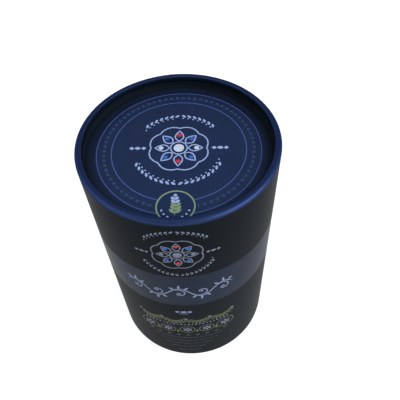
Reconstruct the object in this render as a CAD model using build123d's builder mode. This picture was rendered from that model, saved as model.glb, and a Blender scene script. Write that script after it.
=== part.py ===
"""Cylindrical paper tube box with a lift-off lid.

A base tube and a lid tube of the same outside diameter meet at one seam. Both are wound
greyboard in a printed paper wrap, lined inside, and rolled in at the closed end into a
bead that holds a pressed, recessed end. A thinner neck tube is glued inside the base and
stands up into the lid. The origin is at the middle of the foot, +Z is up, and the printed
front faces -Y. All sizes are in millimetres.
"""

import os
from math import cos, degrees, radians, sin

from build123d import *

os.makedirs("parts", exist_ok=True)

# Outside of the closed box
outside_diameter = 100.0
overall_height = 159.0
lid_height = 47.0

# Sheet and board
board_wall = 1.5
wrap_thickness = 0.2
liner_thickness = 0.2
glue_film = 0.05
wrap_setback = 0.15
lap_width = 8.0

# Rolled edge: the width that its crest is pressed flat
roll_land = 0.5

# Pressed ends, their backing boards and their linings
end_recess = 7.0
end_card = 0.8
end_corner = 0.6
backing_thickness = 1.5
disc_fit = 0.1

# Neck
neck_wall = 1.2
neck_foil = 0.15
neck_headroom = 3.4
lid_fit = 0.3

# Radii of the shells, from the outside inwards
wrap_radius = outside_diameter / 2
board_radius = wrap_radius - wrap_thickness - glue_film
liner_radius = board_radius - board_wall - glue_film
shell_bore = liner_radius - liner_thickness
neck_wrap_radius = shell_bore - lid_fit
neck_board_radius = neck_wrap_radius - wrap_thickness - glue_film
neck_foil_radius = neck_board_radius - neck_wall - glue_film
neck_bore = neck_foil_radius - neck_foil

# The roll: the board turns on its own inner face, and the wrap goes round it
wrap_roll_bore = board_wall + glue_film
wrap_roll_radius = wrap_roll_bore + wrap_thickness
roll_centre_radius = board_radius - board_wall
roll_end_radius = roll_centre_radius - roll_land
end_radius = shell_bore - glue_film
disc_radius = shell_bore - disc_fit

# Heights, the base from the foot and the lid from the top
seam_z = overall_height - lid_height
base_roll_z = wrap_roll_radius
lid_roll_z = overall_height - wrap_roll_radius
roll_to_lip = wrap_roll_radius + glue_film
backing_inset = end_recess + end_card + glue_film
lining_inset = backing_inset + backing_thickness + glue_film
neck_foot_z = lining_inset
neck_top_z = overall_height - lining_inset - liner_thickness - neck_headroom

UP = 1
DOWN = -1


def wall_and_roll(radius, roll_radius, cut_z, roll_z, way):
    """One side of a sheet: up the wall, round a quarter, along the crest, round a half.

    way says whether the roll is at the top or at the bottom.
    """
    Line((radius, cut_z), (radius, roll_z))
    CenterArc((roll_centre_radius, roll_z), roll_radius, 0, way * 90)
    crest_z = roll_z + way * roll_radius
    Line((roll_centre_radius, crest_z), (roll_end_radius, crest_z))
    CenterArc((roll_end_radius, roll_z), roll_radius, way * 90, way * 180)


def rolled_board(cut_z, roll_z, way):
    """Section of a board wall whose edge is rolled in upon itself."""
    wall_and_roll(board_radius, board_wall, cut_z, roll_z, way)
    Line((roll_end_radius, roll_z - way * board_wall), (roll_end_radius, roll_z))
    Line((roll_end_radius, roll_z), (roll_centre_radius, roll_z))
    Line((roll_centre_radius, roll_z), (roll_centre_radius, cut_z))
    Line((roll_centre_radius, cut_z), (board_radius, cut_z))


def rolled_wrap(cut_z, roll_z, way):
    """Section of the paper glued on that board, round the roll with it."""
    inside = wrap_radius - wrap_thickness
    wall_and_roll(wrap_radius, wrap_roll_radius, cut_z, roll_z, way)
    wall_and_roll(inside, wrap_roll_bore, cut_z, roll_z, way)
    Line(
        (roll_end_radius, roll_z - way * wrap_roll_radius),
        (roll_end_radius, roll_z - way * wrap_roll_bore),
    )
    Line((inside, cut_z), (wrap_radius, cut_z))


def polar(radius, angle):
    """A point in the plan, at an angle in degrees from +X."""
    return (radius * cos(radians(angle)), radius * sin(radians(angle)))


def lap(low_z, high_z):
    """The wrap's free edge, glued over its other edge down the middle of the back."""
    half_angle = degrees(lap_width / wrap_radius) / 2
    under = 90 - half_angle
    over = 90 + half_angle
    root = wrap_radius - wrap_thickness / 2
    crest = wrap_radius + wrap_thickness
    with BuildSketch(Plane.XY.offset(low_z)) as section:
        with BuildLine():
            ThreePointArc(
                polar(wrap_radius, under),
                polar((wrap_radius + crest) / 2, 90),
                polar(crest, over),
            )
            Line(polar(crest, over), polar(root, over))
            ThreePointArc(polar(root, over), polar(root, 90), polar(root, under))
            Line(polar(root, under), polar(wrap_radius, under))
        make_face()
    extrude(section.sketch, amount=high_z - low_z)


def ring(outer, inner, low_z, high_z):
    """A plain length of tube."""
    with BuildSketch(Plane.XY.offset(low_z)) as section:
        Circle(outer)
        Circle(inner, mode=Mode.SUBTRACT)
    extrude(section.sketch, amount=high_z - low_z)


def disc(radius, low_z, thickness):
    """A flat round blank."""
    with BuildSketch(Plane.XY.offset(low_z)) as section:
        Circle(radius)
    extrude(section.sketch, amount=thickness)


def save(piece, label):
    """Names a finished piece and writes its file."""
    piece.part.label = label
    export_step(piece.part, f"parts/{label}.step")


# Lid shell: greyboard tube, rolled in at the top
with BuildPart() as lid_board_tube:
    with BuildSketch(Plane.XZ):
        with BuildLine():
            rolled_board(seam_z, lid_roll_z, UP)
        make_face()
    revolve(axis=Axis.Z)
save(lid_board_tube, "lid_board_tube")

# Lid wrap: printed paper over the skirt and the bead, lapped at the back
with BuildPart() as lid_wrap:
    with BuildSketch(Plane.XZ):
        with BuildLine():
            rolled_wrap(seam_z + wrap_setback, lid_roll_z, UP)
        make_face()
    revolve(axis=Axis.Z)
    lap(seam_z + wrap_setback, lid_roll_z)
save(lid_wrap, "lid_wrap")

# Lid liner: white paper inside the shell, up to the bead
with BuildPart() as lid_liner:
    ring(liner_radius, shell_bore, seam_z + wrap_setback, lid_roll_z - roll_to_lip)
save(lid_liner, "lid_liner")

# Lid end: pressed card dish, its lip under the bead
lid_face_z = overall_height - end_recess
with BuildPart() as lid_end_panel:
    disc(end_radius, lid_face_z - end_card, lid_roll_z - roll_to_lip - lid_face_z + end_card)
    rim = lid_end_panel.faces().sort_by(Axis.Z)[-1]
    chamfer(lid_end_panel.edges().group_by(Axis.Z)[0], length=end_corner)
    offset(amount=-end_card, openings=rim)
save(lid_end_panel, "lid_end_panel")

# Lid backing: greyboard disc that keeps the pressed end flat
with BuildPart() as lid_backing_disc:
    disc(disc_radius, overall_height - backing_inset - backing_thickness, backing_thickness)
save(lid_backing_disc, "lid_backing_disc")

# Lid lining disc: white paper over the backing, facing the contents
with BuildPart() as lid_liner_disc:
    disc(disc_radius, overall_height - lining_inset - liner_thickness, liner_thickness)
save(lid_liner_disc, "lid_liner_disc")

# Base shell: the same tube, rolled in at the foot
with BuildPart() as base_board_tube:
    with BuildSketch(Plane.XZ):
        with BuildLine():
            rolled_board(seam_z, base_roll_z, DOWN)
        make_face()
    revolve(axis=Axis.Z)
save(base_board_tube, "base_board_tube")

# Base wrap: printed paper over the wall and the foot bead, lapped at the back
with BuildPart() as base_wrap:
    with BuildSketch(Plane.XZ):
        with BuildLine():
            rolled_wrap(seam_z - wrap_setback, base_roll_z, DOWN)
        make_face()
    revolve(axis=Axis.Z)
    lap(base_roll_z, seam_z - wrap_setback)
save(base_wrap, "base_wrap")

# Base liner: the same white paper, between the base shell and the neck
with BuildPart() as base_liner:
    ring(liner_radius, shell_bore, base_roll_z + roll_to_lip, seam_z - wrap_setback)
save(base_liner, "base_liner")

# Base end: pressed card dish set up inside the foot
with BuildPart() as base_end_panel:
    disc(end_radius, base_roll_z + roll_to_lip, end_recess + end_card - base_roll_z - roll_to_lip)
    rim = base_end_panel.faces().sort_by(Axis.Z)[0]
    chamfer(base_end_panel.edges().group_by(Axis.Z)[-1], length=end_corner)
    offset(amount=-end_card, openings=rim)
save(base_end_panel, "base_end_panel")

# Base backing: greyboard disc that the neck stands on
with BuildPart() as base_backing_disc:
    disc(disc_radius, backing_inset, backing_thickness)
save(base_backing_disc, "base_backing_disc")

# Neck: the inner tube, glued into the base and standing up into the lid
with BuildPart() as neck_board_tube:
    ring(neck_board_radius, neck_board_radius - neck_wall, neck_foot_z, neck_top_z)
save(neck_board_tube, "neck_board_tube")

# Neck wrap: plain dark paper that the lid slides over
with BuildPart() as neck_wrap:
    ring(neck_wrap_radius, neck_wrap_radius - wrap_thickness, neck_foot_z, neck_top_z)
save(neck_wrap, "neck_wrap")

# Neck lining: foil-faced paper inside the neck
with BuildPart() as neck_foil_liner:
    ring(neck_foil_radius, neck_bore, neck_foot_z, neck_top_z)
save(neck_foil_liner, "neck_foil_liner")

# Floor lining: foil-faced paper disc on the base backing, inside the neck
with BuildPart() as floor_foil_disc:
    disc(neck_bore - disc_fit, neck_foot_z, liner_thickness)
save(floor_foil_disc, "floor_foil_disc")

print("seam at", seam_z, "neck from", round(neck_foot_z, 2), "to", neck_top_z)
print("bore of the neck", round(neck_bore, 2), "bore of the shells", round(shell_bore, 2))
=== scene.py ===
"""Looks of the cylindrical paper tube box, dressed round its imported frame.

Metres, +Z up, the printed front towards -Y. The sections follow the box as it is put
together: base, neck, lid, then the floor, light and camera it is looked at with.
"""

from math import acos, atan2, ceil, cos, degrees, pi, radians, sin

import bmesh
import bpy
from mathutils import Matrix, Vector


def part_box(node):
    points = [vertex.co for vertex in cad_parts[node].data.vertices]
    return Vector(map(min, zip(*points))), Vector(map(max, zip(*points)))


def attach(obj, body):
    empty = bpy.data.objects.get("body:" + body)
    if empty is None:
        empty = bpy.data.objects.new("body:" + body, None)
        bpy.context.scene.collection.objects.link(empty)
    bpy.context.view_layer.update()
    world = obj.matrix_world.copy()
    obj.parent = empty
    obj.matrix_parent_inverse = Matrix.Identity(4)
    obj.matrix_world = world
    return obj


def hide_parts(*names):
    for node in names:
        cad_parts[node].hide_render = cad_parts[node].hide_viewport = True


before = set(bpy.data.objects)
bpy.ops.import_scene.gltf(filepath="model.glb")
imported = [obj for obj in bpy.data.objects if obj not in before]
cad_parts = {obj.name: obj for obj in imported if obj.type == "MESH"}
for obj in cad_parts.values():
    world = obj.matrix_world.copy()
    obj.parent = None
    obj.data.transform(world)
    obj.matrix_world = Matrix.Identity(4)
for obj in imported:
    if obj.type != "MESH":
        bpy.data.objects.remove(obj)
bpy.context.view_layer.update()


# Base shell: a wound greyboard tube, 1.5 mm thick, with its lower edge rolled in on itself.
# Paper covers it but for the cut edge at the top, where the plies show. The solid is right
# as it is.
class Field:
    """A socket of a shader, so that what varies over a surface is written as a sum."""

    def __init__(self, tree, socket=None):
        self.tree = tree
        self.socket = socket

    def node(self, kind, settings, inputs, output=0):
        """Adds any node: its type, its settings, then the values or links of its sockets."""
        made = self.tree.nodes.new(kind)
        for name, value in settings.items():
            setattr(made, name, value)
        for name, value in inputs.items():
            if isinstance(value, Field):
                self.tree.links.new(value.socket, made.inputs[name])
            else:
                made.inputs[name].default_value = value
        return Field(self.tree, made.outputs[output])

    def maths(self, operation, *others):
        """A Math node on this field, and on others where the operation takes them."""
        terms = dict(enumerate((self,) + others))
        return self.node("ShaderNodeMath", {"operation": operation}, terms)

    def __add__(self, other):
        return self.maths("ADD", other)

    def __sub__(self, other):
        return self.maths("SUBTRACT", other)

    def __mul__(self, other):
        return self.maths("MULTIPLY", other)

    def __truediv__(self, other):
        return self.maths("DIVIDE", other)

    def __rsub__(self, other):
        return self * -1 + other

    __radd__ = __add__
    __rmul__ = __mul__

    def rise(self, low, high):
        """0 below low, 1 above high, and smooth between."""
        return self.node(
            "ShaderNodeMapRange",
            {"interpolation_type": "SMOOTHSTEP"},
            {"Value": self, "From Min": low, "From Max": high},
        )

    def blend(self, without, within):
        """One colour where this is 0 and another where it is 1."""
        return self.node("ShaderNodeMix", {"data_type": "RGBA"}, {0: self, 6: without, 7: within}, 2)

    def scaled(self, by):
        """This direction or place, times a number for each axis."""
        return self.node("ShaderNodeVectorMath", {"operation": "MULTIPLY"}, {0: self, 1: by})

    def grain(self, size, detail=3.0, stretch=(1, 1, 1)):
        """Soft noise with features of that size, on this place."""
        return self.node(
            "ShaderNodeTexNoise",
            {},
            {"Vector": self.scaled(stretch), "Scale": 1 / size, "Detail": detail, "Roughness": 0.6},
        )

    def part(self, name):
        """X, Y or Z of this place."""
        return self.node("ShaderNodeSeparateXYZ", {}, {0: self}, name)

    def relief(self, height):
        """The surface raised by this field, which at 1 stands that high."""
        return self.node("ShaderNodeBump", {}, {"Height": self, "Distance": height}, "Normal")


class Finish:
    """A material, which starts from one shader and the place on the piece."""

    def __init__(self, name, **values):
        self.material = bpy.data.materials.new(name)
        self.material.use_nodes = True
        self.tree = self.material.node_tree
        self.shader = self.tree.nodes["Principled BSDF"]
        self.place = Field(self.tree).node("ShaderNodeTexCoord", {}, {}, "Object")
        self.set(**values)

    def set(self, **values):
        """Sets or links sockets of the shader, with _ for the spaces in their names."""
        for name, value in values.items():
            socket = self.shader.inputs[name.replace("_", " ")]
            if isinstance(value, Field):
                self.tree.links.new(value.socket, socket)
            else:
                socket.default_value = value

    def radius(self):
        """Distance from the tube's axis."""
        flat = self.place.scaled((1, 1, 0))
        return flat.node("ShaderNodeVectorMath", {"operation": "LENGTH"}, {0: flat}, "Value")

    def turn(self):
        """Angle round the axis, in radians from +X."""
        return self.place.part("Y").maths("ARCTAN2", self.place.part("X"))


def greyboard():
    """Raw wound board: grey-brown fibres, plies as fine lines on a cut edge, black outer ply."""
    ply = 0.000375
    glue_share = 0.22
    dye_depth = 0.00015
    dye_blur = 0.00005
    dyed_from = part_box("base_board_tube")[1].x - dye_depth
    finish = Finish("greyboard", Roughness=0.92, Specular_IOR_Level=0.2)
    plies = (finish.radius() / ply).maths("FRACT")
    glue_line = 1 - plies.rise(0.0, glue_share)
    fibres = finish.place.grain(0.0005, 5.0).rise(0.35, 0.7)
    flecks = finish.place.grain(0.0014, 2.0).rise(0.66, 0.72)
    board = fibres.blend((0.26, 0.235, 0.2, 1), (0.36, 0.335, 0.29, 1))
    board = flecks.blend(board, (0.16, 0.14, 0.12, 1))
    board = (glue_line * 0.45).blend(board, (0.15, 0.13, 0.11, 1))
    dyed = finish.radius().rise(dyed_from, dyed_from + dye_blur)
    finish.set(Base_Color=dyed.blend(board, (0.012, 0.012, 0.013, 1)))
    finish.set(Normal=(fibres * 0.7 - glue_line * 0.3).relief(0.00005))
    return finish.material


def keep(node, material):
    """A solid of the frame that stays, in a better material."""
    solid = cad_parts[node]
    solid.data.materials.clear()
    solid.data.materials.append(material)


board_look = greyboard()
keep("base_board_tube", board_look)


# Base wrap: printed paper with a satin lamination, glued round the board, lapped 8 mm at
# the back and rolled in with it at the foot. It is black, with a slate band next to the lid.
tube_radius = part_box("lid_wrap")[1].x
box_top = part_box("lid_wrap")[1].z
seam_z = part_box("base_board_tube")[1].z
paper = 0.0002
roll_radius = 0.00175
roll_land = 0.0005
lap_width = 0.008
facets_round = 480


def stations(count, lap=0.0):
    """Angles round the tube, each with how far the lap of the paper stands up there."""
    plain = [(360 * i / count, 0.0) for i in range(count)]
    if not lap:
        return plain
    back = 90
    half = degrees(lap / tube_radius) / 2
    step_down = 0.03
    ramp = 12
    root, edge = back - half, back + half
    outside = [(a, up) for a, up in plain if not root <= a <= edge + step_down]
    lapped = [(root + 2 * half * i / ramp, i / ramp) for i in range(ramp + 1)]
    return sorted(outside + lapped + [(edge + step_down, 0.0)])


def arc(centre, size, start, sweep, steps):
    """Points of an arc in radius and height, in degrees from straight out."""
    turns = [radians(start + sweep * i / steps) for i in range(steps + 1)]
    return [(centre[0] + size * cos(t), centre[1] + size * sin(t)) for t in turns]


def finished(name, work, material):
    """The piece made from a mesh, with its faces turned outwards."""
    bmesh.ops.recalc_face_normals(work, faces=work.faces)
    mesh = bpy.data.meshes.new(name)
    work.to_mesh(mesh)
    work.free()
    mesh.materials.append(material)
    piece = bpy.data.objects.new(name, mesh)
    bpy.context.scene.collection.objects.link(piece)
    return piece


def turned(name, outline, material, around, lifts=None):
    """A closed piece turned about the axis from its outline of radius and height points."""
    crease = radians(32)
    work = bmesh.new()
    lifts = lifts or [(0.0, 0.0)] * len(outline)
    rows = []
    for (radius, height), (out, rise) in zip(outline, lifts):
        row = []
        for angle, up in around if radius else [(0.0, 0.0)]:
            reach, a = radius + out * up, radians(angle)
            row.append(work.verts.new((reach * cos(a), reach * sin(a), height + rise * up)))
        rows.append(row)
    for near, far in zip(rows, rows[1:] + rows[:1]):
        count = max(len(near), len(far))
        for i in range(count if count > 1 else 0):
            j = (i + 1) % count
            corners = [near[i % len(near)], near[j % len(near)], far[j % len(far)], far[i % len(far)]]
            work.faces.new(dict.fromkeys(corners))
    piece = finished(name, work, material)
    piece.data.polygons.foreach_set("use_smooth", [True] * len(piece.data.polygons))
    piece.data.set_sharp_from_angle(angle=crease)
    return piece


def rolled_wrap(cut, roll_z, way):
    """Outline of the wrap, and how far its lap lifts each point of it."""
    wall_steps, quarter_steps, half_steps = 24, 12, 24
    crest = tube_radius - roll_radius
    tuck = crest - roll_land
    bore = roll_radius - paper
    shares = [i / wall_steps for i in range(wall_steps + 1)]
    wall = [(tube_radius, cut + (roll_z - cut) * share) for share in shares]
    over = arc((crest, roll_z), roll_radius, 0, way * 90, quarter_steps)[1:]
    under = arc((tuck, roll_z), roll_radius, way * 90, way * 180, half_steps)
    inside = arc((tuck, roll_z), bore, way * 270, way * -180, half_steps)
    back = arc((crest, roll_z), bore, way * 90, way * -90, quarter_steps)
    outline = wall + over + under + inside + back + [(tube_radius - paper, cut)]
    lifts = [(paper, 0.0)] * len(wall)
    for i in range(1, quarter_steps + 1):
        turn, fade = radians(90 * i / quarter_steps), 1 - i / quarter_steps
        lifts.append((fade * paper * cos(turn), way * fade * paper * sin(turn)))
    lifts += [(0.0, 0.0)] * (len(outline) - len(lifts))
    return outline, lifts


def printed_wrap():
    """Satin print: black, a slate band below the seam, and blue pearl ink over the top bead.

    The paper's grey core shows where it is cut, at the seam and down the edge of the lap.
    """
    band_foot = seam_z - 0.033
    band_blur = 0.0013
    band_drift = 0.0022
    band_stop = 0.00002
    blue_foot = box_top - 0.0024
    blue_blur = 0.00015
    pearl_full = box_top - 0.0007
    blue_ends = tube_radius - 0.0033
    tuck_shade_foot = box_top - 0.0036
    tuck_blur = 0.0002
    paper_gap = 0.00015
    gap_blur = 0.00001
    cut_edge = 0.0015
    finish = Finish("wrap_paper", Specular_IOR_Level=0.015, Specular_Tint=(0.2, 0.28, 0.5, 1))
    finish.set(Coat_IOR=1.1, Coat_Roughness=0.4)
    height = finish.place.part("Z")
    cloud = finish.place.grain(0.009, 4.0)
    speck = finish.place.grain(0.0009, 2.0)
    fibre = finish.place.grain(0.00035, 3.0)
    soft_height = height + (cloud - 0.5) * band_drift
    band = soft_height.rise(band_foot - band_blur, band_foot + band_blur)
    band = band * (1 - height.rise(seam_z - band_stop, seam_z + band_stop))
    blue = height.rise(blue_foot - blue_blur, blue_foot + blue_blur)
    blue = blue * finish.radius().rise(blue_ends - tuck_blur, blue_ends + tuck_blur)
    pearly = height.rise(blue_foot, pearl_full)
    core = 1 - (height - seam_z).maths("ABSOLUTE").rise(paper_gap, paper_gap + gap_blur)
    lap_edge = (finish.turn() - (pi / 2 + lap_width / tube_radius / 2)).maths("ABSOLUTE")
    outer_side = finish.radius().rise(tube_radius - roll_radius, tube_radius - roll_radius / 2)
    core = core.maths("MAXIMUM", (1 - lap_edge.rise(cut_edge / 2, cut_edge)) * outer_side)
    black = fibre.blend((0.0054, 0.0082, 0.0116, 1), (0.0086, 0.0115, 0.0154, 1))
    slate = cloud.rise(0.3, 0.7).blend((0.0066, 0.0130, 0.0290, 1), (0.0112, 0.0202, 0.0415, 1))
    slate = (speck.rise(0.56, 0.72) * 0.35).blend(slate, (0.042, 0.057, 0.090, 1))
    pearl = fibre.blend((0.024, 0.043, 0.126, 1), (0.029, 0.051, 0.148, 1))
    pearl = pearly.blend((0.012, 0.024, 0.068, 1), pearl)
    # Painted shade: inside the top roll, below where the blue ends, the black is made darker and
    # bluer, as shade in the undercut under the bead.
    tuck = height.rise(tuck_shade_foot - tuck_blur, tuck_shade_foot)
    tuck = tuck * (1 - finish.radius().rise(blue_ends, blue_ends + 2 * tuck_blur))
    black = tuck.blend(black, (0.003, 0.006, 0.013, 1))
    printed = blue.blend(band.blend(black, slate), pearl)
    finish.set(Base_Color=core.blend(printed, (0.05, 0.05, 0.05, 1)))
    finish.set(Metallic=blue * pearly * 0.85, Coat_Weight=band * 0.6)
    finish.set(Roughness=0.40 + speck * 0.10 - blue * 0.06)
    finish.set(Normal=(fibre * 0.6 + cloud * 0.4).relief(0.000012))
    return finish.material


wrap_look = printed_wrap()
lap_stations = stations(facets_round, lap_width)
foot_outline, foot_lifts = rolled_wrap(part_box("base_wrap")[1].z, roll_radius, -1)
base_wrap = turned("base_wrap_paper", foot_outline, wrap_look, lap_stations, foot_lifts)
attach(base_wrap, "base")
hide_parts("base_wrap")


# Print on the base: screened inks on the lamination. A running vine is on the slate band, a
# small lozenge under it, then a leaf garland, ringed flowers and fine rows on the black. The
# strokes are drawn in millimetres, as a printer's artwork is.
MM = 0.001
fine_tip = 0.02


def stroke(points, width, closed=False, taper=0.0):
    """A line of ink. taper is the share of its length over which each end thins out."""
    tip = 0.12
    count = len(points) - 1
    halves = []
    for i in range(len(points)):
        end = min(i, count - i) / count
        thin = 1.0 if closed or not taper else min(1.0, tip + end / taper)
        halves.append(width / 2 * thin)
    return (points, halves, closed)


def dot(x, y, size):
    """A filled round of that radius."""
    steps = 12
    turns = [pi * i / steps for i in range(steps + 1)]
    points = [(x - size * cos(t), y) for t in turns]
    return (points, [max(fine_tip, size * sin(t)) for t in turns], False)


def ring(x, y, size, width, start=0.0, sweep=360.0):
    """A circle of ink, or an arc of one from start degrees."""
    chord = 0.7
    steps = max(12, ceil(radians(sweep) * size / chord))
    whole = sweep == 360.0
    turns = [radians(start + sweep * i / steps) for i in range(steps + (not whole))]
    return stroke([(x + size * cos(t), y + size * sin(t)) for t in turns], width, whole)


def leaf(x, y, length, width, angle):
    """A filled pointed leaf growing from a point at that angle."""
    steps = 10
    shares = [i / steps for i in range(steps + 1)]
    c, s = cos(radians(angle)), sin(radians(angle))
    along = [(x + length * share * c, y + length * share * s) for share in shares]
    halves = [max(fine_tip, width / 2 * sin(pi * share) ** 0.8) for share in shares]
    return (along, halves, False)


def moved(strokes, x=0.0, y=0.0, turn=0.0, scale=1.0):
    """The same strokes, scaled, turned and moved."""
    c, s = cos(radians(turn)) * scale, sin(radians(turn)) * scale
    placed = []
    for points, halves, closed in strokes:
        there = [(x + c * px - s * py, y + s * px + c * py) for px, py in points]
        placed.append((there, [half * scale for half in halves], closed))
    return placed


def on_wall(turn, height):
    """Lays a print on the outside of the tube, its middle at that turn and height."""
    def place(x, y, up):
        angle = radians(turn - 90) + x * MM / tube_radius
        reach = tube_radius + up * MM
        return (reach * cos(angle), reach * sin(angle), height + y * MM)
    return place


films_on = {}


def free_level(points, halves, place):
    """The lowest level that no film laid near this stroke has taken on that surface."""
    half = max(halves)
    low = [min(point[axis] for point in points) - half for axis in (0, 1)]
    high = [max(point[axis] for point in points) + half for axis in (0, 1)]
    films = films_on.setdefault(place, [])
    taken = set()
    for level, their_low, their_high in films:
        if all(low[i] < their_high[i] and their_low[i] < high[i] for i in (0, 1)):
            taken.add(level)
    level = min(set(range(len(taken) + 1)) - taken)
    films.append((level, low, high))
    return level


def inked(name, strokes, place, material, body):
    """A printed layer: every stroke is a closed film of ink that beds into the paper.

    Films that cross are a little unlike in thickness, so no two of them share a plane.
    """
    bed, film, step_up = -0.01, 0.03, 0.002
    widest_facet = 1.2
    work = bmesh.new()
    for points, halves, closed in strokes:
        top = film + step_up * free_level(points, halves, place)
        count = len(points)
        across = max(1, ceil(2 * max(halves) / widest_facet))
        rows = []
        for i, (x, y) in enumerate(points):
            before = points[i - 1] if closed or i else points[i]
            after = points[(i + 1) % count] if closed or i + 1 < count else points[i]
            along = Vector((after[0] - before[0], after[1] - before[1])).normalized()
            side = (-along.y * halves[i], along.x * halves[i])
            shares = [1 - 2 * k / across for k in range(across + 1)]
            under = [place(x + side[0] * s, y + side[1] * s, bed) for s in shares]
            over = [place(x + side[0] * s, y + side[1] * s, top) for s in reversed(shares)]
            rows.append([work.verts.new(p) for p in under + over])
        pairs = list(zip(rows, rows[1:] + rows[:1]))
        for near, far in pairs if closed else pairs[:-1]:
            for k in range(len(near)):
                j = (k + 1) % len(near)
                work.faces.new((near[k], near[j], far[j], far[k]))
        if not closed:
            work.faces.new(rows[0])
            work.faces.new(rows[-1])
    piece = finished(name, work, material)
    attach(piece, body)


def ink(name, colour):
    """Screen ink: nearly even, a little thin where the paper's grain breaks it."""
    thin_share = 0.72
    finish = Finish(name, Specular_IOR_Level=0.25)
    worn = finish.place.grain(0.0008, 3.0).rise(0.3, 0.75)
    thin = tuple(thin_share * c for c in colour[:3]) + (1,)
    finish.set(Base_Color=worn.blend(colour, thin), Roughness=0.5 + worn * 0.1)
    return finish.material


def vine():
    """A running vine: a waving stem, a curl with a bud in each bend, leaves outside it."""
    wave, reach, bends = 24.0, 4.6, 5
    stem_steps, stem_width = 120, 0.75
    curl_steps, curl_width = 48, 0.6
    curl_start, curl_sweep = 168, 430
    least_curl, curl_growth = 1.0, 4.9
    bud_size, bud_offset, bud_drop = 0.75, 0.2, 0.9
    leaves, leaf_width = ((-2.6, 138, 3.4), (0.0, 90, 4.0), (2.6, 42, 3.4)), 1.3
    start = -wave * bends / 4
    stem = []
    for i in range(stem_steps + 1):
        x = start + wave * bends / 2 * i / stem_steps
        stem.append((x, reach * sin(2 * pi * (x - start) / wave)))
    strokes = [stroke(stem, stem_width, taper=0.1)]
    for k in range(bends):
        middle = start + wave * (k / 2 + 0.25)
        side = 1 if k % 2 == 0 else -1
        curl = []
        for i in range(curl_steps + 1):
            t = i / curl_steps
            size = least_curl + curl_growth * (1 - t) ** 1.9
            angle = radians(curl_start - curl_sweep * t)
            curl.append((middle + size * cos(angle), side * (size * sin(angle) - bud_drop)))
        strokes.append(stroke(curl, curl_width, taper=0.3))
        strokes.append(dot(middle + bud_offset, -side * bud_drop, bud_size))
        for spread, tilt, length in leaves:
            high = side * reach * cos(2 * pi * spread / wave)
            strokes.append(leaf(middle + spread, high, length, leaf_width, side * tilt))
    return strokes


def lozenges():
    """Three small lozenges over a short rule."""
    row, row_y, depth = ((-3.6, 2.6), (0, 4.2), (3.6, 2.6)), 0.6, 2.2
    rule_reach, rule_y, rule_width = 2.6, -1.9, 0.45
    strokes = [leaf(x - length / 2, row_y, length, depth, 0) for x, length in row]
    rule = [(x, rule_y) for x in (-rule_reach, 0, rule_reach)]
    return strokes + [stroke(rule, rule_width)]


garland_y, flower_y = 59.0, 44.0
swags, swag_span, swag_drop = 4, 14.4, 3.6
flower_step = 12.0


def garland():
    """Swags of leaves hung in a row, then the rings of the flowers and a row of dashes."""
    steps, line_width = 16, 0.45
    leaf_length, leaf_width, above, below = 3.4, 1.1, 54, -58
    ring_size, end_ring_size, ring_width = 4.6, 5.6, 0.6
    tall_leaf = 1.5
    dashes, dash_step, dash_length, dash_drop = 9, 6.0, 3.0, 8.6
    strokes = []
    for k in range(swags):
        left = (k - swags / 2) * swag_span
        line = []
        for i in range(steps + 1):
            t = i / steps
            line.append((left + swag_span * t, garland_y - swag_drop * 4 * t * (1 - t)))
        strokes.append(stroke(line, line_width))
        for i in range(1, steps):
            slope = degrees(atan2(-swag_drop * 4 * (1 - 2 * i / steps), swag_span))
            lean = above if i % 2 else below
            strokes.append(leaf(*line[i], leaf_length, leaf_width, slope + lean))
    for k in range(-2, 3):
        size = end_ring_size if abs(k) == 2 else ring_size
        strokes.append(ring(k * flower_step, flower_y, size, ring_width))
        if k < 2:
            between = (k + 0.5) * flower_step
            strokes.append(leaf(between, flower_y - ring_size, ring_size, tall_leaf, 90))
    for k in range(dashes):
        left = (k - dashes // 2) * dash_step - dash_length / 2
        strokes.append(leaf(left, flower_y - dash_drop, dash_length, leaf_width, 0))
    return strokes


def flowers():
    """Pale beads on the swags and under them, and a six-petalled flower in each ring."""
    knot_size, knot_lift = 0.85, 0.7
    beads, bead_step, bead_drop, bead_sizes = 24, 2.2, 7.2, (0.66, 0.5)
    petal_root, petal_width, petal_length, end_petal_length = 0.5, 1.3, 2.6, 3.2
    strokes = []
    for k in range(swags + 1):
        strokes.append(dot((k - swags / 2) * swag_span, garland_y + knot_lift, knot_size))
    for k in range(beads):
        x = (k - (beads - 1) / 2) * bead_step
        strokes.append(dot(x, garland_y - bead_drop, bead_sizes[k % 2]))
    for k in range(-2, 3):
        length = end_petal_length if abs(k) == 2 else petal_length
        for turn in range(30, 390, 60):
            x = k * flower_step + petal_root * cos(radians(turn))
            y = flower_y + petal_root * sin(radians(turn))
            strokes.append(leaf(x, y, length, petal_width, turn))
    return strokes


def fine_rows():
    """Close rows of dots and dashes that run out towards the foot."""
    rows = ((31.0, 22), (26.0, 18), (21.0, 15), (15.6, 11), (9.6, 7))
    step, dot_size, dash_length, dash_width = 1.5, 0.34, 1.2, 0.7
    strokes = []
    for height, reach in rows:
        for i in range(int(2 * reach / step) + 1):
            x = -reach + step * i
            if i % 4 == 3:
                strokes.append(dot(x, height, dot_size))
            else:
                strokes.append(leaf(x - dash_length / 2, height, dash_length, dash_width, 0))
    return strokes


chalk_ink = ink("chalk_ink", (0.26, 0.34, 0.56, 1))
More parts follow.
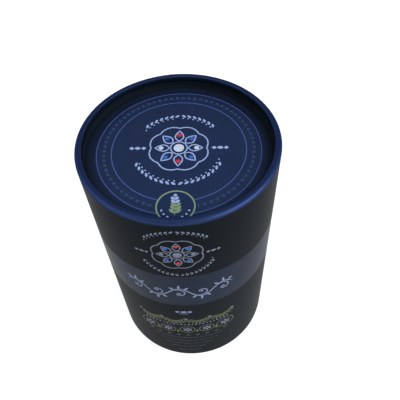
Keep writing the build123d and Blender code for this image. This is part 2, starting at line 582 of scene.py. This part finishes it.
# Painted shade: the white for the side walls is a darker copy of the end's white ink, standing in for
# the shade on upright walls.
shaded_side_white_ink = ink("shaded_side_white_ink", (0.20, 0.235, 0.34, 1))
olive_ink = ink("olive_ink", (0.088, 0.108, 0.042, 1))
grey_ink = ink("grey_ink", (0.075, 0.085, 0.095, 1))
print_turn = -3.3
vine_turn, vine_drop = print_turn - 2, 0.0179
lozenge_turn, lozenge_drop = print_turn - 1, 0.0427
band_art = on_wall(vine_turn, seam_z - vine_drop)
small_art = on_wall(lozenge_turn, seam_z - lozenge_drop)
low_art = on_wall(print_turn, 0.0)
inked("band_vine_print", vine(), band_art, chalk_ink, "base")
inked("lozenge_print", lozenges(), small_art, chalk_ink, "base")
inked("garland_print", garland(), low_art, olive_ink, "base")
inked("flower_print", flowers(), low_art, shaded_side_white_ink, "base")
inked("fine_row_print", fine_rows(), low_art, grey_ink, "base")


# Base liner, end and backing: white paper lines the shell. A card pressed to a shallow dish
# is set up inside the foot, hooked by the rolled edge, and a greyboard disc behind it carries
# the floor and the neck.
card = 0.0008
outer_ring = 0.0406


def liner_paper():
    """Uncoated white paper with the helical butt seam of a wound lining."""
    pitch = 0.062
    seam_share = 0.004
    lining_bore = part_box("lid_liner")[1].x - paper
    seam_from, seam_full = lining_bore - 0.002, lining_bore - 0.001
    finish = Finish("liner_paper", Roughness=0.85, Specular_IOR_Level=0.3)
    fibre = finish.place.grain(0.0004, 4.0)
    shade = finish.place.grain(0.012, 2.0)
    winding = (finish.turn() / (2 * pi) + finish.place.part("Z") / pitch).maths("FRACT")
    seam = (1 - winding.rise(0.0, seam_share)) * finish.radius().rise(seam_from, seam_full)
    white = (fibre * 0.5 + shade * 0.5).blend((0.66, 0.65, 0.62, 1), (0.78, 0.77, 0.75, 1))
    finish.set(Base_Color=(seam * 0.6).blend(white, (0.36, 0.34, 0.31, 1)))
    finish.set(Normal=(fibre * 0.5 - seam).relief(0.00003))
    return finish.material


def end_card():
    """Card in blue pearl ink, darker outside the ring; corner and lip black as painted shade."""
    ring_edge = outer_ring + 0.0001
    ring_blur = 0.001
    skirt_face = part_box("base_end_panel")[1].x - card
    corner_shade_from, corner_shade_full = skirt_face - 0.00565, skirt_face - 0.00035
    lip_shade_from, lip_shade_full = skirt_face + 0.00002, skirt_face + 0.00007
    finish = Finish("end_card", Specular_IOR_Level=0.08)
    cloud = finish.place.grain(0.018, 3.0)
    fibre = finish.place.grain(0.0004, 3.0)
    outside = finish.radius().rise(ring_edge, ring_edge + ring_blur)
    # Painted shade: towards the skirt the card darkens to black in the recess corner, and the lip
    # under the bead is near black.
    corner = finish.radius().rise(corner_shade_from, corner_shade_full)
    lip = finish.radius().rise(lip_shade_from, lip_shade_full)
    pearl = cloud.rise(0.3, 0.7).blend((0.025, 0.047, 0.130, 1), (0.030, 0.055, 0.152, 1))
    pearl = (fibre * 0.3).blend(pearl, (0.039, 0.069, 0.19, 1))
    pearl = outside.blend(pearl, (0.020, 0.035, 0.088, 1))
    # Painted shade colours: black in the corner, near black on the lip.
    pearl = corner.blend(pearl, (0.005, 0.009, 0.015, 1))
    finish.set(Base_Color=lip.blend(pearl, (0.001, 0.001, 0.002, 1)))
    # In the painted corner shade the metal is taken away and the card made rougher, so no sheen shows
    # there.
    finish.set(Metallic=0.85 - corner * 0.85, Roughness=0.40 + fibre * 0.12 + corner * 0.35)
    finish.set(Normal=(fibre * 0.5 + cloud * 0.5).relief(0.000014))
    return finish.material


def dish(node, way):
    """Outline of a pressed end: a flat floor, a rounded corner and a skirt up to its lip."""
    low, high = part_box(node)
    corner, heel, steps = 0.0009, 0.001, 8
    flat = (0.0, 0.012, 0.024, 0.036, 0.044)
    skirt = high.x
    inner = skirt - card
    face = low.z + card if way > 0 else high.z - card
    lip = high.z if way > 0 else low.z
    floor = [(radius, face) for radius in flat]
    bend = arc((inner - corner, face + way * corner), corner, way * -90, way * 90, steps)
    outside = arc((skirt - heel, face + way * (heel - card)), heel, 0, way * -90, steps)
    underside = [(radius, face - way * card) for radius in reversed(flat)]
    return floor + bend + [(inner, lip), (skirt, lip)] + outside + underside


paper_look = liner_paper()
card_look = end_card()
fine = stations(facets_round)
keep("base_liner", paper_look)
keep("base_backing_disc", board_look)
base_end = turned("base_pressed_end", dish("base_end_panel", -1), card_look, fine)
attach(base_end, "base")
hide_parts("base_end_panel")


# Neck: a thinner wound tube glued in the base, 34 mm proud of it, that the lid slides over.
# Dark paper is outside, butted down the back, and foil-faced paper inside and on the floor.
def tube(node, thickness):
    """Outline of a plain sheet rolled to a tube, with rows up its walls."""
    low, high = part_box(node)
    steps = 24
    rows = [i / steps for i in range(steps + 1)]
    up = [(high.x, low.z + (high.z - low.z) * share) for share in rows]
    down = [(high.x - thickness, high.z - (high.z - low.z) * share) for share in rows]
    return up + down


def neck_paper():
    """Plain black matt paper, rubbed where the lid slides, butted down the back."""
    butt_half, butt_blur = 0.00005, 0.00017
    finish = Finish("neck_paper", Specular_IOR_Level=0.03)
    fibre = finish.place.grain(0.0004, 4.0)
    rub = finish.place.grain(0.004, 4.0, (1, 1, 0.12)).rise(0.56, 0.74)
    off_butt = finish.place.part("X").maths("ABSOLUTE")
    butt = 1 - off_butt.rise(butt_half, butt_half + butt_blur)
    butt = butt * finish.place.part("Y").rise(0.0, 0.01)
    black = fibre.blend((0.012, 0.013, 0.016, 1), (0.019, 0.020, 0.024, 1))
    finish.set(Base_Color=(rub * 0.3).blend(black, (0.040, 0.041, 0.045, 1)))
    finish.set(Roughness=0.62 - rub * 0.14)
    finish.set(Normal=(fibre * 0.4 - butt).relief(0.00003))
    return finish.material


def foil_paper():
    """Satin foil on paper: soft dents and the helical lap of the winding, with painted sheen."""
    pitch = 0.058
    seam_from, seam_ends = 0.005, 0.012
    lap_sheen_from, lap_sheen_ends = 0.08, 0.09
    disc_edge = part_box("floor_foil_disc")[1].x
    foil_from, foil_full = disc_edge + 0.00002, disc_edge + 0.00008
    finish = Finish("foil_paper")
    dents_and_sheen = finish.place.grain(0.016, 1.0, (1, 1, 0.6))
    brush = finish.place.grain(0.0006, 2.0, (1, 1, 0.15))
    winding = (finish.turn() / (2 * pi) + finish.place.part("Z") / pitch).maths("FRACT")
    wound = finish.radius().rise(foil_from, foil_full)
    seam = (1 - winding.rise(seam_from, seam_ends)) * wound
    lap = (1 - winding.rise(lap_sheen_from, lap_sheen_ends)) * wound
    # Painted reflection: the foil's colour runs lighter and darker with the dents and is lighter
    # along the lap, where real foil would only reflect differently; the dents also raise the surface.
    foil = dents_and_sheen.rise(0.35, 0.65).blend((0.88, 0.88, 0.89, 1), (0.95, 0.95, 0.96, 1))
    foil = (brush.rise(0.3, 0.7) * 0.08).blend(foil, (0.72, 0.72, 0.73, 1))
    foil = (lap * 0.4).blend(foil, (0.97, 0.97, 0.98, 1))
    finish.set(Base_Color=(seam * 0.7).blend(foil, (0.26, 0.26, 0.27, 1)))
    finish.set(Metallic=0.88 - seam * 0.3, Roughness=0.24 + dents_and_sheen * 0.10 + brush * 0.04)
    finish.set(Normal=(dents_and_sheen + lap * 0.1).relief(0.0005))
    return finish.material


neck_look = neck_paper()
foil_look = foil_paper()
keep("neck_board_tube", board_look)
neck_cover = turned("neck_wrap_paper", tube("neck_wrap", paper), neck_look, fine)
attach(neck_cover, "base")
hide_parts("neck_wrap")
foil_sheet = 0.00015
neck_foil = turned("neck_foil", tube("neck_foil_liner", foil_sheet), foil_look, fine)
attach(neck_foil, "base")
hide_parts("neck_foil_liner")
disc_low, disc_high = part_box("floor_foil_disc")
disc_rows = (0.0, 0.015, 0.03, disc_high.x)
disc_outline = [(radius, disc_high.z) for radius in disc_rows]
disc_outline += [(radius, disc_low.z) for radius in reversed(disc_rows)]
floor_foil = turned("floor_foil", disc_outline, foil_look, fine)
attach(floor_foil, "base")
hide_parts("floor_foil_disc")


# Lid shell, wrap and linings: made as the base is, of wound board rolled in at the top under
# the same printed paper, which turns blue over the bead. White paper lines the skirt and the
# disc.
keep("lid_board_tube", board_look)
keep("lid_backing_disc", board_look)
keep("lid_liner_disc", paper_look)
rim_outline, rim_lifts = rolled_wrap(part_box("lid_wrap")[0].z, box_top - roll_radius, 1)
lid_wrap = turned("lid_wrap_paper", rim_outline, wrap_look, lap_stations, rim_lifts)
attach(lid_wrap, "lid")
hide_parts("lid_wrap")
lid_lining = turned("lid_lining_paper", tube("lid_liner", paper), paper_look, fine)
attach(lid_lining, "lid")
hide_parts("lid_liner")


# Rosette print on the lid's wall: the same rosette as on the end, a little smaller, screened in white
# with red and blue dots on the black above the seam. The white is painted darker than the end's, as
# shade on the upright wall.
def rosette_lines():
    """Eight petals round a middle, in a scalloped border."""
    line = 0.65
    middle_size, middle_line = 4.1, 0.6
    petal_root, petal_tip, petal_half, petal_steps = 4.7, 11.8, 2.1, 12
    border_size, swell = 13.8, 0.09
    petal = [(petal_root, 0.0)]
    for i in range(1, petal_steps):
        share = i / petal_steps
        x = petal_root + (petal_tip - petal_root) * share
        petal.append((x, petal_half * sin(pi * share ** 0.8)))
    petal += [(petal_tip, 0.0)] + [(x, -y) for x, y in reversed(petal[1:])]
    strokes = [ring(0, 0, middle_size, middle_line)]
    scallops = []
    for k in range(8):
        strokes += moved([stroke(petal, line, closed=True)], turn=45 * k)
        for a in range(-22, 23, 4):
            out = border_size * (1 + swell * cos(pi * a / 44))
            turn = radians(45 * k + 22.5 + a)
            scallops.append((out * cos(turn), out * sin(turn)))
    return strokes + [stroke(scallops, line, closed=True)]


def sprigs():
    """Two laurel sprigs, over and under, and three small lozenges at each side."""
    out, leaf_turn = 22.0, 7.2
    leaf_length, leaf_width, lean = 2.7, 1.3, 58
    berry_inset, berry_size = 0.8, 0.4
    row, depth = ((17.4, 2.2), (20.4, 3.2), (23.4, 2.2)), 1.9
    strokes = []
    for middle, reach in ((90, 7), (270, 9)):
        for step in range(-reach, reach + 1):
            if step == 0:
                continue
            a = middle + step * leaf_turn
            x, y = out * cos(radians(a)), out * sin(radians(a))
            angle = a + lean if step < 0 else a - lean
            strokes.append(leaf(x, y, leaf_length, leaf_width, angle))
            b = radians(a + leaf_turn / 2)
            inner = out - berry_inset
            strokes.append(dot(inner * cos(b), inner * sin(b), berry_size))
    for side in (-1, 1):
        for x, length in row:
            strokes.append(leaf(side * x - length / 2, 0, length, depth, 0))
    return strokes


def petal_dots(turns):
    """A dot in each petal that stands at one of those turns."""
    size, out = 1.2, 8.8
    return [dot(out * cos(radians(a)), out * sin(radians(a)), size) for a in turns]


red_turns = (90, 270)
blue_turns = (45, 135, 225, 315)
white_turns = (0, 180)
heart_size = 2.6
heart = [dot(0, 0, heart_size)] + petal_dots(white_turns)
red_ink = ink("red_ink", (0.64, 0.032, 0.068, 1))
blue_ink = ink("blue_ink", (0.030, 0.15, 0.62, 1))
rosette_rise = 0.0211
wall_rosette = on_wall(print_turn, seam_z + rosette_rise)
shrink = 0.84
wall_lines = moved(rosette_lines() + sprigs() + heart, scale=shrink)
wall_red = moved(petal_dots(red_turns), scale=shrink)
wall_blue = moved(petal_dots(blue_turns), scale=shrink)
inked("wall_rosette_print", wall_lines, wall_rosette, shaded_side_white_ink, "lid")
inked("wall_red_print", wall_red, wall_rosette, red_ink, "lid")
inked("wall_blue_print", wall_blue, wall_rosette, blue_ink, "lid")


# Lid end: printed card pressed to a dish 7 mm deep and held under the bead. A rosette is in
# the middle, then two fine rings with a beaded border between them, and a ringed green sprig
# stands over both at the front.
end_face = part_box("lid_end_panel")[0].z + card
lid_end = turned("lid_pressed_end", dish("lid_end_panel", 1), card_look, fine)
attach(lid_end, "lid")
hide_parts("lid_end_panel")


def on_end(x, y, up):
    """Lays a print on the lid's end, the front of it towards the front of the box."""
    a = radians(print_turn)
    return ((x * cos(a) - y * sin(a)) * MM, (x * sin(a) + y * cos(a)) * MM, end_face + up * MM)


inner_ring, inner_line = 33.3, 0.55
outer_line = 0.45
badge_size, badge_line, badge_y = 8.7, 0.7, -35.9


def ring_lines():
    """The two rings, open where the badge stands and ending just inside its edge."""
    overlap = 0.15
    edge = badge_size + badge_line / 2 - overlap
    strokes = []
    for size, width in ((inner_ring, inner_line), (outer_ring / MM, outer_line)):
        near = (size ** 2 + badge_y ** 2 - edge ** 2) / (2 * size * -badge_y)
        gap = degrees(acos(min(1.0, near)))
        strokes.append(ring(0, 0, size, width, -90 + gap, 360 - 2 * gap))
    return strokes


def border():
    """A running border of leaves and beads between the rings."""
    count, clear, out = 132, 17, 36.1
    leaf_length, leaf_width, lean = 2.2, 0.95, 28
    bead_out, bead_size = out * 1.025, 0.5
    strokes = []
    for k in range(count + 1):
        a = -90 + clear + (360 - 2 * clear) * k / count
        c, s = cos(radians(a)), sin(radians(a))
        if k % 6 == 5:
            strokes.append(dot(bead_out * c, bead_out * s, bead_size))
        else:
            angle = a + lean if k % 2 else a - lean
            strokes.append(leaf(out * c, out * s, leaf_length, leaf_width, angle))
    return strokes


stem_points, stem_step, stem_foot, stem_sway = 12, 0.95, -5.6, 0.5
stem_x = [-0.4 + stem_sway * sin(i / 3) for i in range(stem_points)]
sprig_stem = [(x, stem_foot + i * stem_step) for i, x in enumerate(stem_x)]


def sprig_leaves(places):
    """Pairs of leaves at those places up the stem."""
    longest, shorter_by, leaf_width = 3.9, 0.16, 1.6
    pairs = [(i, tilt) for i in places for tilt in (38, 142)]
    return [leaf(*sprig_stem[i], longest - shorter_by * i, leaf_width, tilt) for i, tilt in pairs]


def badge():
    """A ring round a sprig, with the sprig's lower leaves."""
    stem_line = 0.42
    strokes = [ring(0, 0, badge_size, badge_line), stroke(sprig_stem, stem_line, taper=0.2)]
    return moved(strokes + sprig_leaves((2, 4, 6)), 0, badge_y)


def badge_beads():
    """The sprig's pale upper leaves, the bud over them and a row of beads below."""
    out, bead_size = 6.6, 0.5
    bud_x, bud_y, bud_size = -0.3, 6.3, 0.8
    turns = [radians(a) for a in range(200, 341, 20)]
    beads = [dot(out * cos(t), out * sin(t), bead_size) for t in turns]
    return moved(beads + sprig_leaves((8, 10)) + [dot(bud_x, bud_y, bud_size)], 0, badge_y)


white_ink = ink("white_ink", (0.68, 0.77, 0.98, 1))
pale_ink = ink("pale_ink", (0.39, 0.53, 0.93, 1))
line_ink = ink("line_ink", (0.062, 0.115, 0.38, 1))
border_ink = ink("border_ink", (0.038, 0.070, 0.20, 1))
green_ink = ink("green_ink", (0.27, 0.39, 0.25, 1))
end_lines = rosette_lines() + sprigs()
inked("end_rosette_print", end_lines, on_end, pale_ink, "lid")
inked("end_heart_print", heart, on_end, white_ink, "lid")
inked("end_red_print", petal_dots(red_turns), on_end, red_ink, "lid")
inked("end_blue_print", petal_dots(blue_turns), on_end, blue_ink, "lid")
inked("end_ring_print", ring_lines(), on_end, line_ink, "lid")
inked("end_border_print", border(), on_end, border_ink, "lid")
inked("badge_print", badge(), on_end, green_ink, "lid")
inked("badge_bead_print", badge_beads(), on_end, pale_ink, "lid")


# Floor, light and camera: not part of the box. A plain white floor keeps its shadow, the room
# is bright low down, softer higher up and pale at the ceiling, and a soft lamp stands at each
# side. The camera is where the photograph was taken from, looking down at 53 degrees.
def white_floor():
    """White to the camera and in reflections, with the shadow that falls on it."""
    shown = 0.81
    finish = Finish("white_floor", Base_Color=(0.42, 0.42, 0.42, 1), Roughness=0.9)
    finish.set(Specular_IOR_Level=0.0, Emission_Strength=1.0)
    rays = [finish.place.node("ShaderNodeLightPath", {}, {}, f"Is {kind} Ray")
            for kind in ("Camera", "Glossy", "Transmission")]
    seen = (rays[0] + rays[1] + rays[2]).maths("MINIMUM", 1.0)
    finish.set(Emission_Color=seen.blend((0, 0, 0, 1), (shown, shown, shown, 1)))
    return finish.material


floor_mesh = bpy.data.meshes.new("studio_floor")
reach = 4.0
corners = [(-reach, -reach, 0), (reach, -reach, 0), (reach, reach, 0), (-reach, reach, 0)]
floor_mesh.from_pydata(corners, [], [(0, 1, 2, 3)])
floor_mesh.materials.append(white_floor())
floor = bpy.data.objects.new("studio_floor", floor_mesh)
bpy.context.scene.collection.objects.link(floor)

world = bpy.data.worlds.new("soft_room")
world.use_nodes = True
bpy.context.scene.world = world
room = world.node_tree.nodes["Background"]
white, upper_wall, ceiling = (1, 1, 1, 1), (0.28, 0.28, 0.28, 1), (0.7, 0.7, 0.7, 1)
wall_dims = sin(radians(5)), sin(radians(36))
ceiling_starts = sin(radians(50)), sin(radians(72))
overhead = Field(world.node_tree).node("ShaderNodeTexCoord", {}, {}, "Generated").part("Z")
high_room = overhead.rise(*ceiling_starts).blend(upper_wall, ceiling)
sky = overhead.rise(*wall_dims).blend(white, high_room)
world.node_tree.links.new(sky.socket, room.inputs["Color"])


def soft_light(name, place, power):
    """A broad lamp in the room that faces the middle of the box."""
    width = 1.3
    middle = Vector((0, 0, 0.08))
    lamp = bpy.data.lights.new(name, "AREA")
    lamp.size = width
    lamp.energy = power
    held = bpy.data.objects.new(name, lamp)
    held.location = place
    held.rotation_euler = (middle - Vector(place)).to_track_quat("-Z", "Y").to_euler()
    bpy.context.scene.collection.objects.link(held)


soft_light("window_light", (0.999, -0.577, 0.80), 15.5)
soft_light("fill_light", (-1.1, -0.2, 0.86), 4.5)

picture = 400
lens_pixels = 462.5
look_down = 0.9181
roll = 0.0542
eye = Vector((0.1806, -3.1889, 3.1672)) * tube_radius + Vector((0, 0, box_top))
ahead = Vector((0, cos(look_down), -sin(look_down)))
level = Vector((1, 0, 0))
upright = Vector((0, sin(look_down), cos(look_down)))
right = cos(roll) * level - sin(roll) * upright
top = sin(roll) * level + cos(roll) * upright
view = bpy.data.cameras.new("photo_view")
view.sensor_width = 36
view.lens = lens_pixels / picture * view.sensor_width
view.clip_start = 0.01
camera = bpy.data.objects.new("photo_view", view)
camera.matrix_world = Matrix.Translation(eye) @ Matrix((right, top, -ahead)).transposed().to_4x4()
bpy.context.scene.collection.objects.link(camera)
bpy.context.scene.camera = camera
bpy.context.scene.view_settings.view_transform = "Standard"
